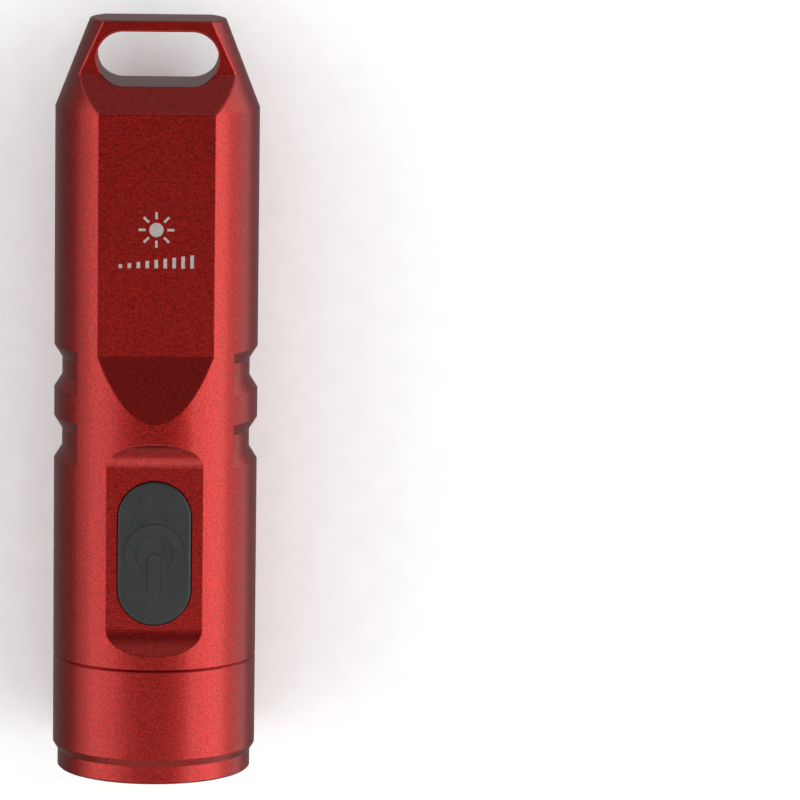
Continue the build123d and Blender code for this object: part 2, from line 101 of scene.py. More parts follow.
# What is seen in the lens, in millimetres from the axis: a dark ring, and the emitter's square frame
DARK_RING_OUTER = 1.80
CHORD_START = 1.70
ARC_START = 1.42

# The etched marks: shares of the sun's reach, and the level bars
SUN_DISC = 0.40
SUN_RAYS = 8
RAY_MIDDLE = 0.80
RAY_LENGTH = 0.40
RAY_WIDTH = 0.14
SUN_SIDES = 40
BAR_COUNT = 9
BAR_WIDTH = 0.26 * MM
FIRST_BAR_HEIGHT = 0.28 * MM
BAR_HEIGHT_STEP = 0.085 * MM

# The stage: the floor, the lamps, the room's greys by height and along Y, and the camera
FLOOR_HALF = 40.0
LAMP_REACH = 4.0
LAMPS = (
    ("softbox_left", "X", -62, (2.5, 4.6), 48.0),
    ("softbox_right", "X", 64, (3.4, 4.6), 110.0),
    ("softbox_front", "Y", -30, (2.0, 8.0), 108.0),
)
ROOM_BY_HEIGHT = ((0.38, 0.14), (0.48, 0.88), (0.66, 0.88), (0.82, 0.42), (0.96, 0.08))
ROOM_ALONG_Y = ((0.05, 0.43), (0.30, 0.68), (0.55, 0.68), (0.68, 1.0), (0.80, 1.0), (0.975, 0.36))
ROOM_STRENGTH = 2.2
RIGHT_SIDE_LIFT = 0.6
CAMERA_EYE = (2.28 * MM, 63.5 * MM, 420.2 * MM)
CAMERA_PITCH = 8.78
CAMERA_YAW = 2.19
CAMERA_ROLL = 0.77
CAMERA_LENS = 254
CAMERA_SENSOR = 36
CAMERA_CLIP_START = 0.01


def mm_size(label, note, default):
    """A length that a user may change, in metres, given here in millimetres."""
    return bpy.props.FloatProperty(
        name=label,
        description=note,
        default=default * MM,
        min=0.0,
        precision=5,
        subtype="DISTANCE",
        unit="LENGTH",
    )


def paint(label, note, default):
    """A colour that a user may change."""
    return bpy.props.FloatVectorProperty(
        name=label, description=note, default=default, size=3, min=0.0, max=1.0, subtype="COLOR"
    )


class FlashlightFinish(bpy.types.PropertyGroup):
    """Colours and grain of the flashlight's finishes."""

    body_red: paint("Body red", "Anodised red of the body and the head", (0.318, 0.0101, 0.0069))
    body_red_deep: paint("Deep red", "Darker flecks in the blasted surface", (0.184, 0.0049, 0.0034))
    blast_grain: mm_size("Blast grain", "Size of the blasted grain", 0.16)
    button_grey: paint("Button grey", "Silicone of the button", (0.017, 0.019, 0.019))
    cover_black: paint("Cover black", "Silicone of the charging port cover", (0.016, 0.016, 0.017))
    mark_grey: paint("Mark grey", "Etched marks", (0.36, 0.32, 0.30))
    optic_yellow: paint("Optic yellow", "Emitter colour that fills the lens", (0.40, 0.345, 0.024))
    optic_olive: paint("Optic olive", "Darker bands in the lens", (0.21, 0.180, 0.008))
    optic_shadow: paint("Optic shadow", "Emitter frame seen through the well", (0.018, 0.012, 0.013))


class FlashlightSizes(bpy.types.PropertyGroup):
    """Sizes of the pieces that are drawn here."""

    lens_face_radius: mm_size("Lens face radius", "Front face of the lens inside the rim", 4.95)
    lens_flange_radius: mm_size("Lens flange radius", "Flange that the rim holds", 5.4)
    well_radius: mm_size("Well radius", "Mouth of the centre well in the lens", 2.175)
    well_floor_radius: mm_size("Well floor radius", "Floor of the centre well", 1.565)
    well_depth: mm_size("Well depth", "Depth of the centre well", 2.55)
    well_dome: mm_size("Well dome", "Height of the dome on the well's floor", 0.5)
    cone_back_radius: mm_size("Cone back radius", "Back end of the lens cone", 2.35)
    pocket_radius: mm_size("Emitter pocket radius", "Pocket in the back of the lens", 1.75)
    pocket_depth: mm_size("Emitter pocket depth", "Depth of the pocket in the back of the lens", 1.6)
    neck_width: mm_size("Neck width", "Width of the strip that holds the port cover", 3.4)
    neck_thickness: mm_size("Neck thickness", "Thickness of the strip that holds the port cover", 0.45)
    neck_inset: mm_size("Neck inset", "How deep the strip lies in the cover", 0.35)
    neck_fold: mm_size("Neck fold", "Length of the strip that bends", 1.0)
    flat_level: mm_size("Flat level", "Height of the long flats above the light's axis", 6.19)
    sun_station: mm_size("Sun mark station", "Distance of the sun mark from the front", 40.9)
    sun_radius: mm_size("Sun mark radius", "Outer reach of the sun mark", 1.3)
    bars_station: mm_size("Bar mark station", "Distance of the level bars from the front", 38.1)
    bars_width: mm_size("Bar mark width", "Width of the row of level bars", 5.2)
    mark_height: mm_size("Mark height", "How far a mark stands off the metal", 0.008)


def station(distance):
    """The Y of a distance from the front of the light, given in metres."""
    return FRONT + distance


def new_object(name, mesh, finish, body="light"):
    """Put a mesh in the scene, give it its finish and let it ride on a body, if there is one."""
    piece = bpy.data.objects.new(name, mesh)
    bpy.context.scene.collection.objects.link(piece)
    piece.data.materials.append(finish.material)
    if body:
        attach(piece, body)
    return piece


def smooth(mesh):
    """Shade a mesh smooth, with its hard corners kept."""
    for face in mesh.polygons:
        face.use_smooth = True
    mesh.set_sharp_from_angle(angle=math.radians(SHARP_ANGLE))


def mesh_from(name, shape, rounded=True):
    """Turn a finished bmesh into a mesh with its faces outward, shaded smooth if it is rounded."""
    bmesh.ops.recalc_face_normals(shape, faces=shape.faces)
    mesh = bpy.data.meshes.new(name)
    shape.to_mesh(mesh)
    shape.free()
    if rounded:
        smooth(mesh)
    return mesh


def lathe(name, outline, sides):
    """Turn a closed outline of (distance from the front, radius) round the light's axis into a mesh."""
    shape = bmesh.new()
    rings = []
    for distance, radius in outline:
        ring = []
        for side in range(sides if radius > 0 else 1):
            angle = math.tau * side / sides
            x = radius * math.cos(angle)
            z = AXIS_LEVEL + radius * math.sin(angle)
            ring.append(shape.verts.new((x, station(distance), z)))
        rings.append(ring)
    for near, far in zip(rings, rings[1:] + rings[:1]):
        if len(near) == 1 and len(far) == 1:
            continue
        for side in range(sides):
            turn = (side + 1) % sides
            corners = [
                near[side % len(near)],
                near[turn % len(near)],
                far[turn % len(far)],
                far[side % len(far)],
            ]
            shape.faces.new(list(dict.fromkeys(corners)))
    return mesh_from(name, shape)


# Node trees and materials


class NodeWork:
    """Short ways to add and link nodes in a node tree."""

    def __init__(self, tree):
        self.nodes = tree.nodes
        self.links = tree.links

    def ramp(self, factor, stops):
        """Colours along a factor; stops are (position, colour)."""
        node = self.nodes.new("ShaderNodeValToRGB")
        elements = node.color_ramp.elements
        while len(elements) < len(stops):
            elements.new(0.5)
        for element, (position, colour) in zip(elements, stops):
            element.position = position
            element.color = (*colour, 1.0)
        self.links.new(factor, node.inputs["Fac"])
        return node.outputs["Color"]

    def spread(self, factor, low, high, start=0.3, end=0.7):
        """Map a factor onto a range of values."""
        node = self.nodes.new("ShaderNodeMapRange")
        node.inputs["From Min"].default_value = start
        node.inputs["From Max"].default_value = end
        node.inputs["To Min"].default_value = low
        node.inputs["To Max"].default_value = high
        self.links.new(factor, node.inputs["Value"])
        return node.outputs["Result"]

    def maths(self, operation, *terms):
        """A maths node over outputs and plain numbers."""
        node = self.nodes.new("ShaderNodeMath")
        node.operation = operation
        for place, term in enumerate(terms):
            if isinstance(term, (int, float)):
                node.inputs[place].default_value = term
            else:
                self.links.new(term, node.inputs[place])
        return node.outputs["Value"]

    def band(self, value, low, high, soft):
        """One between two limits and nothing outside them, with soft ends."""
        rise = self.spread(value, 0.0, 1.0, low - soft, low)
        fall = self.spread(value, 1.0, 0.0, high, high + soft)
        return self.maths("MULTIPLY", rise, fall)

    def mix(self, factor, first, second):
        """Mix two colours by a factor; the first may be a plain colour."""
        node = self.nodes.new("ShaderNodeMix")
        node.data_type = "RGBA"
        self.links.new(factor, node.inputs["Factor"])
        if isinstance(first, tuple):
            node.inputs[6].default_value = (*first, 1.0)
        else:
            self.links.new(first, node.inputs[6])
        self.links.new(second, node.inputs[7])
        return node.outputs[2]


class Finish(NodeWork):
    """A procedural material under construction, measured in millimetres on the object."""

    def __init__(self, name):
        self.material = bpy.data.materials.new(name)
        self.material.use_nodes = True
        super().__init__(self.material.node_tree)
        self.shader = self.nodes["Principled BSDF"]
        place = self.nodes.new("ShaderNodeTexCoord")
        scale = self.nodes.new("ShaderNodeMapping")
        scale.inputs["Scale"].default_value = (1 / MM, 1 / MM, 1 / MM)
        self.links.new(place.outputs["Object"], scale.inputs["Vector"])
        self.place = scale.outputs["Vector"]

    def set(self, **values):
        """Set shader sockets, named in lower case with underscores."""
        for key, value in values.items():
            socket = key.replace("_", " ").title().replace("Ior", "IOR")
            self.shader.inputs[socket].default_value = value
        return self

    def noise(self, size, detail=3.0, stretch=(1, 1, 1), roughness=0.5):
        """A noise whose features are about this many millimetres across."""
        node = self.nodes.new("ShaderNodeTexNoise")
        node.inputs["Scale"].default_value = 1.0 / size
        node.inputs["Detail"].default_value = detail
        node.inputs["Roughness"].default_value = roughness
        source = self.place
        if stretch != (1, 1, 1):
            mapping = self.nodes.new("ShaderNodeMapping")
            mapping.inputs["Scale"].default_value = stretch
            self.links.new(self.place, mapping.inputs["Vector"])
            source = mapping.outputs["Vector"]
        self.links.new(source, node.inputs["Vector"])
        return node.outputs["Fac"]

    def feed(self, output, socket):
        """Link an output to a shader socket."""
        self.links.new(output, self.shader.inputs[socket])
        return self

    def bump(self, height, depth, strength=1.0):
        """Raise the surface by a height map; depth is in millimetres."""
        node = self.nodes.new("ShaderNodeBump")
        node.inputs["Strength"].default_value = strength
        node.inputs["Distance"].default_value = depth * MM
        self.links.new(height, node.inputs["Height"])
        last = self.shader.inputs["Normal"]
        if last.is_linked:
            self.links.new(last.links[0].from_socket, node.inputs["Normal"])
        self.links.new(node.outputs["Normal"], last)
        return self


def blend_colour(colour, factor):
    """A colour made lighter or darker by a factor."""
    return tuple(min(1.0, channel * factor) for channel in colour)


def speckled(name, colour, grain, depth, low=0.35, high=0.55, contrast=0.18, **values):
    """A moulded, blasted or soldered surface with fine grain in its colour, gloss and relief."""
    finish = Finish(name)
    fine = finish.noise(grain, 4.0)
    broad = finish.noise(grain * 14, 2.0)
    shades = [(0.3, blend_colour(colour, 1 - contrast)), (0.7, blend_colour(colour, 1 + contrast))]
    finish.feed(finish.ramp(fine, shades), "Base Color")
    finish.feed(finish.spread(broad, low, high), "Roughness")
    finish.bump(fine, depth)
    return finish.set(**values)


def anodised(name, props):
    """Bead-blasted anodised aluminium: a fine sparkling grain under a dyed, slightly glassy skin."""
    finish = Finish(name)
    grain = props.blast_grain / MM
    fine = finish.noise(grain, 3.0, roughness=0.6)
    pits = finish.noise(grain * 2.6, 2.0)
    cloud = finish.noise(7.0, 2.0)
    red = finish.ramp(fine, [(0.37, props.body_red_deep), (0.60, props.body_red)])
    finish.feed(red, "Base Color")
    finish.feed(finish.spread(cloud, 0.36, 0.39), "Roughness")
    finish.bump(pits, 0.024, 0.60)
    finish.bump(fine, 0.020, 0.80)
    return finish.set(metallic=1.0, coat_weight=0.4, coat_roughness=0.22, coat_ior=1.5)


def silicone(name, colour):
    """Moulded silicone with a soft sheen and faint mould grain."""
    finish = Finish(name)
    grain = 0.12
    fine = finish.noise(grain, 3.0)
    dust = finish.noise(grain * 9, 5.0)
    shades = [(0.35, blend_colour(colour, 0.86)), (0.66, blend_colour(colour, 1.18))]
    finish.feed(finish.ramp(dust, shades), "Base Color")
    finish.feed(finish.spread(fine, 0.42, 0.56), "Roughness")
    finish.bump(fine, 0.004, 0.5)
    return finish.set(specular_ior_level=0.28)


def brushed_metal(name, colour):
    """Stamped or drawn sheet metal with fine draw lines."""
    finish = Finish(name)
    lines = finish.noise(0.06, 3.0, stretch=(1, 0.05, 1))
    stains = finish.noise(1.1, 3.0)
    shades = [(0.3, blend_colour(colour, 0.86)), (0.7, blend_colour(colour, 1.12))]
    finish.feed(finish.ramp(stains, shades), "Base Color")
    finish.feed(finish.spread(lines, 0.24, 0.40), "Roughness")
    finish.bump(lines, 0.003, 0.5)
    return finish.set(metallic=1.0)


def turned_metal(name, colour):
    """Bare metal with the fine rings of a lathe tool."""
    finish = Finish(name)
    rings = finish.noise(0.05, 2.0, stretch=(0.02, 1, 0.02))
    stains = finish.noise(1.6, 3.0)
    shades = [(0.3, blend_colour(colour, 0.88)), (0.7, blend_colour(colour, 1.08))]
    finish.feed(finish.ramp(stains, shades), "Base Color")
    finish.feed(finish.spread(rings, 0.26, 0.42), "Roughness")
    finish.bump(rings, 0.006, 0.6)
    return finish.set(metallic=1.0)


def board_finish():
    """Green solder mask over copper tracks."""
    finish = Finish("board_mask")
    tracks = finish.nodes.new("ShaderNodeTexVoronoi")
    tracks.feature = "DISTANCE_TO_EDGE"
    tracks.distance = "EUCLIDEAN"
    tracks.inputs["Scale"].default_value = 1.1
    tracks.inputs["Randomness"].default_value = 0.55
    finish.links.new(finish.place, tracks.inputs["Vector"])
    line = finish.spread(tracks.outputs["Distance"], 1.0, 0.0, 0.05, 0.075)
    weave = finish.noise(0.10, 2.0)
    mask = finish.ramp(weave, [(0.3, (0.006, 0.075, 0.028)), (0.7, (0.010, 0.105, 0.040))])
    copper = finish.ramp(weave, [(0.3, (0.030, 0.20, 0.075)), (0.7, (0.045, 0.25, 0.095))])
    finish.feed(finish.mix(line, mask, copper), "Base Color")
    finish.feed(finish.spread(weave, 0.22, 0.34), "Roughness")
    finish.bump(line, 0.02, 0.6)
    return finish.set(coat_weight=0.4, coat_roughness=0.12)


def wrap_finish():
    """Heat-shrunk blue film with faint lengthwise creases."""
    finish = Finish("battery_film")
    crease = finish.noise(0.5, 3.0, stretch=(1, 0.12, 1))
    fleck = finish.noise(0.10, 2.0)
    finish.feed(finish.ramp(crease, [(0.3, (0.012, 0.060, 0.26)), (0.7, (0.018, 0.090, 0.36))]), "Base Color")
    finish.feed(finish.spread(fleck, 0.24, 0.36), "Roughness")
    finish.bump(crease, 0.02, 0.5)
    return finish.set(coat_weight=0.3, coat_roughness=0.15)


def dress(node, finish):
    """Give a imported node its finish."""
    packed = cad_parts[node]
    packed.data.materials.clear()
    packed.data.materials.append(finish.material)


class FLASHLIGHT_OT_body(bpy.types.Operator):
    """Finish the body and the head in blasted red anodising"""

    bl_idname = "flashlight.body"
    bl_label = "Body and head"

    def execute(self, context):
        props = context.scene.flashlight_finish
        red = anodised("red_anodising", props)
        for node in ("body_shell", "head_bezel"):
            dress(node, red)
        return {"FINISHED"}


class FLASHLIGHT_OT_button(bpy.types.Operator):
    """Finish the silicone button"""

    bl_idname = "flashlight.button"
    bl_label = "Button"

    def execute(self, context):
        props = context.scene.flashlight_finish
        dress("button", silicone("button_silicone", props.button_grey))
        return {"FINISHED"}


def neck_mesh(sizes, start, end, outer):
    """A strip between two places along Y that follows the round body and narrows in the middle."""
    shape = bmesh.new()
    rows = []
    for row in range(NECK_ROWS + 1):
        part = row / NECK_ROWS
        y = start + (end - start) * part
        half = sizes.neck_width / 2 * (1 - NECK_WAIST * math.sin(math.pi * part))
        ring = []
        for direction, lift in ((1, 0.0), (-1, sizes.neck_thickness)):
            for side in range(NECK_SIDES + 1):
                x = half * direction * (side / NECK_SIDES * 2 - 1)
                drop = BODY_RADIUS - math.sqrt(BODY_RADIUS**2 - x**2)
                ring.append(shape.verts.new((x, y, outer + drop + lift)))
        rows.append(ring)
    for near, far in zip(rows, rows[1:]):
        for side in range(len(near)):
            turn = (side + 1) % len(near)
            shape.faces.new((near[side], near[turn], far[turn], far[side]))
    shape.faces.new(rows[0])
    shape.faces.new(list(reversed(rows[-1])))
    return mesh_from("port_cover_neck", shape)


class FLASHLIGHT_OT_port_cover(bpy.types.Operator):
    """Finish the charging port cover and its anchor"""

    bl_idname = "flashlight.port_cover"
    bl_label = "Charging port cover"

    def execute(self, context):
        props = context.scene.flashlight_finish
        black = silicone("cover_silicone", props.cover_black)
        for node in ("port_cover", "port_cover_anchor"):
            dress(node, black)

        # The thin silicone strip that folds where the cover meets its anchor
        sizes = context.scene.flashlight_sizes
        cover_low, cover_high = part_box("port_cover")
        anchor_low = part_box("port_cover_anchor")[0]
        start = cover_high[1] - NECK_OVERLAP
        end = anchor_low[1] + NECK_OVERLAP
        outer = cover_low[2] + sizes.neck_inset
        mesh = neck_mesh(sizes, start, end, outer)
        neck = new_object("port_cover_neck", mesh, black, body=None)
        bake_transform(neck)
        return {"FINISHED"}


def lens_places(finish):
    """Where a point lies in the lens: across, up and out from its axis, and a noise of soft rays."""
    nodes, links = finish.nodes, finish.links
    split = nodes.new("ShaderNodeSeparateXYZ")
    links.new(finish.place, split.inputs["Vector"])
    across = split.outputs["X"]
    rise = finish.maths("SUBTRACT", split.outputs["Z"], AXIS_LEVEL / MM)
    flat = nodes.new("ShaderNodeCombineXYZ")
    links.new(across, flat.inputs["X"])
    links.new(rise, flat.inputs["Z"])
    length = nodes.new("ShaderNodeVectorMath")
    length.operation = "LENGTH"
    links.new(flat.outputs["Vector"], length.inputs[0])
    radius = length.outputs["Value"]

    # A noise over the direction from the axis that changes only slowly outward makes rays
    turn = nodes.new("ShaderNodeVectorMath")
    turn.operation = "NORMALIZE"
    links.new(flat.outputs["Vector"], turn.inputs[0])
    spoke = nodes.new("ShaderNodeSeparateXYZ")
    links.new(turn.outputs["Vector"], spoke.inputs["Vector"])
    rays = nodes.new("ShaderNodeCombineXYZ")
    links.new(spoke.outputs["X"], rays.inputs["X"])
    links.new(spoke.outputs["Z"], rays.inputs["Z"])
    links.new(finish.maths("MULTIPLY", radius, 0.16), rays.inputs["Y"])
    streaks = nodes.new("ShaderNodeTexNoise")
    streaks.inputs["Scale"].default_value = 1.5
    streaks.inputs["Detail"].default_value = 2.0
    streaks.inputs["Roughness"].default_value = 0.42
    links.new(rays.outputs["Vector"], streaks.inputs["Vector"])
    return across, rise, radius, streaks.outputs["Fac"]


def lens_yellow(finish, props, radius, floor, streaks, cloud):
    """The emitter's yellow: soft rays over the face and a dome with a bright rim in the well."""
    tone = finish.maths("MULTIPLY_ADD", cloud, 0.30, finish.maths("MULTIPLY", streaks, 0.70))
    field = finish.ramp(
        tone,
        [
            (0.36, props.optic_olive),
            (0.54, blend_colour(props.optic_yellow, 0.86)),
            (0.70, props.optic_yellow),
        ],
    )
    dome_shades = ((0.0, 0.80), (0.55, 0.95), (0.80, 1.35), (0.97, 0.90))
    dome = finish.ramp(
        finish.maths("DIVIDE", radius, floor),
        [(place, blend_colour(props.optic_yellow, shade)) for place, shade in dome_shades],
    )
    return finish.mix(finish.maths("LESS_THAN", radius, floor), field, dome)


def lens_frame(finish, across, rise, radius, floor, in_well):
    """How much the emitter's square frame shows: chords by the well's mouth, arcs by its floor."""
    wobble = finish.maths("MULTIPLY", finish.maths("SUBTRACT", finish.noise(0.45, 2.0), 0.5), 0.35)
    side = finish.maths("MAXIMUM", finish.maths("ABSOLUTE", across), finish.maths("ABSOLUTE", rise))
    side = finish.maths("ADD", side, wobble)
    chords = finish.maths("MULTIPLY", finish.spread(side, 0.0, 1.0, CHORD_START, CHORD_START + 0.10), in_well)
    inner = finish.spread(radius, 0.0, 1.0, floor + 0.03, floor + 0.07)
    outer = finish.spread(radius, 1.0, 0.0, DARK_RING_OUTER - 0.06, DARK_RING_OUTER)
    corners = finish.spread(side, 0.0, 1.0, ARC_START, ARC_START + 0.08)
    arcs = finish.maths("MULTIPLY", finish.maths("MULTIPLY", inner, outer), corners)
    return finish.maths("MAXIMUM", chords, arcs)


def lens_painted_highlights(finish, radius, mouth, floor, edge, streaks):
    """Painted highlights on the edges: the well's mouth, its floor, a line between them and glints at the
    face's rim.
    """
    lip = finish.band(radius, mouth - 0.035, mouth + 0.035, 0.02)
    floor_lip = finish.band(radius, floor - 0.02, floor + 0.025, 0.02)
    inner_line = finish.band(radius, DARK_RING_OUTER, DARK_RING_OUTER + 0.025, 0.015)
    rim = finish.band(radius, edge - 0.055, edge - 0.02, 0.02)
    glint = finish.maths("MULTIPLY", rim, finish.spread(streaks, 0.1, 0.9, 0.40, 0.60))
    lines = finish.maths("MAXIMUM", floor_lip, finish.maths("MULTIPLY", inner_line, 0.7))
    for line in (lip, glint):
        lines = finish.maths("MAXIMUM", lines, line)
    return lines


def lens_finish(props, sizes):
    """Clear plastic filled with the emitter's yellow, with the emitter's frame seen in the well, painted
    highlights on its edges and a painted glow in the well.
    """
    finish = Finish("beam_lens")
    across, rise, radius, streaks = lens_places(finish)
    mouth = sizes.well_radius / MM
    floor = sizes.well_floor_radius / MM
    edge = sizes.lens_face_radius / MM
    cloud = finish.noise(4.5, 0.5)
    in_well = finish.maths("LESS_THAN", radius, mouth - 0.05)
    glints = finish.ramp(
        finish.noise(0.22, 3.0, stretch=(0.5, 1, 1.6)),
        [(0.52, props.optic_shadow), (0.80, (0.13, 0.12, 0.13))],
    )
    # Pale colour of the painted highlights along the lens's edges
    painted_highlight_colour = finish.ramp(cloud, [(0.3, (0.55, 0.47, 0.36)), (0.7, (0.68, 0.62, 0.52))])
    seen = lens_yellow(finish, props, radius, floor, streaks, cloud)
    seen = finish.mix(lens_frame(finish, across, rise, radius, floor, in_well), seen, glints)
    # Painted highlights laid over the edges
    seen = finish.mix(lens_painted_highlights(finish, radius, mouth, floor, edge, streaks), seen, painted_highlight_colour)

    # Only the well has a painted glow, which lightens the shade of its deep walls, and only the face is
    # coated
    finish.feed(seen, "Base Color")
    finish.feed(finish.mix(in_well, BLACK, seen), "Emission Color")
    finish.feed(finish.spread(cloud, 0.10, 0.16), "Roughness")
    finish.feed(finish.spread(radius, 0.05, 0.6, mouth - 0.06, mouth - 0.04), "Coat Weight")
    return finish.set(
        emission_strength=0.55,
        specular_ior_level=0.05,
        coat_roughness=0.03,
        coat_ior=1.49,
    )


def between(first, second, part):
    """The value a part of the way from one to another."""
    return first + (second - first) * part


def shares(count):
    """Equal steps from just after nothing up to one."""
    return [step / count for step in range(1, count + 1)]


def lens_outline(sizes, face, back):
    """The lens in section: emitter pocket, well, face, flange and cone, in that order."""
    floor = face + sizes.well_depth
    pocket_floor = back - sizes.pocket_depth
    outline = [(back, sizes.pocket_radius), (pocket_floor, sizes.pocket_radius), (pocket_floor, 0)]

    # The domed floor of the well, its sloping wall and its soft mouth
    dome_radius = sizes.well_floor_radius - WELL_SOFT_EDGE
    outline.append((floor - sizes.well_dome, 0))
    for part in shares(16):
        turn = part * math.pi / 2
        outline.append((floor - sizes.well_dome * math.cos(turn), dome_radius * math.sin(turn)))
    outline.append((floor, sizes.well_floor_radius))
    for part in shares(12)[:-1]:
        radius = between(sizes.well_floor_radius, sizes.well_radius, part)
        outline.append((between(floor, face, part), radius))
    for part in [0.0, *shares(6)]:
        turn = part * math.pi / 2
        depth = WELL_SOFT_EDGE * (1 - math.sin(turn))
        outline.append((face + depth, sizes.well_radius + WELL_SOFT_EDGE * (1 - math.cos(turn))))

    # The flat face, the flange and the bulging cone
    mouth = sizes.well_radius + WELL_SOFT_EDGE
    for part in shares(8):
        outline.append((face, between(mouth, sizes.lens_face_radius, part)))
    start, end = face + FLANGE_START, face + FLANGE_END
    outline += [
        (start, sizes.lens_face_radius),
        (start + FLANGE_CHAMFER, sizes.lens_flange_radius),
        (end - FLANGE_CHAMFER, sizes.lens_flange_radius),
        (end, sizes.lens_face_radius),
    ]
    for part in shares(16):
        bulge = CONE_BULGE * 4 * part * (1 - part)
        radius = between(sizes.lens_face_radius, sizes.cone_back_radius, part)
        outline.append((between(end, back, part), radius + bulge))
    return outline


class FLASHLIGHT_OT_lens(bpy.types.Operator):
    """Build the beam lens, with its flat face, flange, centre well, dome and cone"""

    bl_idname = "flashlight.lens"
    bl_label = "Beam lens"

    def execute(self, context):
        sizes = context.scene.flashlight_sizes
        low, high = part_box("lens")
        outline = lens_outline(sizes, low[1] - FRONT, high[1] - FRONT)
        mesh = lathe("beam_lens", outline, LENS_SIDES)
        lens = new_object("beam_lens", mesh, lens_finish(context.scene.flashlight_finish, sizes))
        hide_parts("lens")
        return {"FINISHED"}


def plates(name, shapes, level, thickness, finish):
    """Thin plates from outlines of (x, distance from the front), lying on a level."""
    shape = bmesh.new()
    for outline in shapes:
        top = [shape.verts.new((x, station(distance), level + thickness)) for x, distance in outline]
        bottom = [shape.verts.new((x, station(distance), level - thickness)) for x, distance in outline]
        shape.faces.new(top)
        for corner in range(len(outline)):
            after = (corner + 1) % len(outline)
            shape.faces.new([top[corner], bottom[corner], bottom[after], top[after]])
    return new_object(name, mesh_from(name, shape, rounded=False), finish)


def bar(x, distance, width, height, turn=0.0):
    """The outline of a bar about a centre, turned by an angle."""
    outline = []
    for side, end in ((-1, -1), (1, -1), (1, 1), (-1, 1)):
        a = side * width / 2
        b = end * height / 2
        corner_x = x + a * math.cos(turn) - b * math.sin(turn)
        outline.append((corner_x, distance + a * math.sin(turn) + b * math.cos(turn)))
    return outline


def sun_outlines(sizes):
    """A round disc and the rays about it."""
    reach = sizes.sun_radius
    middle = sizes.sun_station
    disc = []
    for side in range(SUN_SIDES):
        turn = math.tau * side / SUN_SIDES
        disc.append((reach * SUN_DISC * math.cos(turn), middle + reach * SUN_DISC * math.sin(turn)))
    outlines = [disc]
    for ray in range(SUN_RAYS):
        turn = math.tau * ray / SUN_RAYS
        x = reach * RAY_MIDDLE * math.cos(turn)
        distance = middle + reach * RAY_MIDDLE * math.sin(turn)
        outlines.append(bar(x, distance, reach * RAY_LENGTH, reach * RAY_WIDTH, turn))
    return outlines


def level_outlines(sizes):
    """A row of bars on one line, each a little taller than the last."""
    outlines = []
    for place in range(BAR_COUNT):
        height = FIRST_BAR_HEIGHT + BAR_HEIGHT_STEP * place
        x = (place / (BAR_COUNT - 1) - 0.5) * sizes.bars_width
        outlines.append(bar(x, sizes.bars_station + height / 2, BAR_WIDTH, height))
    return outlines


class FLASHLIGHT_OT_marks(bpy.types.Operator):
    """Lay the etched sun and level bars on the upper flat"""

    bl_idname = "flashlight.marks"
    bl_label = "Etched marks"

    def execute(self, context):
        sizes = context.scene.flashlight_sizes
        grey = speckled(
            "etched_mark",
            context.scene.flashlight_finish.mark_grey,
            0.07,
            0.004,
            low=0.5,
            high=0.65,
            contrast=0.30,
            metallic=0.6,
        )
        shapes = sun_outlines(sizes) + level_outlines(sizes)
        level = AXIS_LEVEL + sizes.flat_level
        mark = plates("etched_mark", shapes, level, sizes.mark_height, grey)
        return {"FINISHED"}


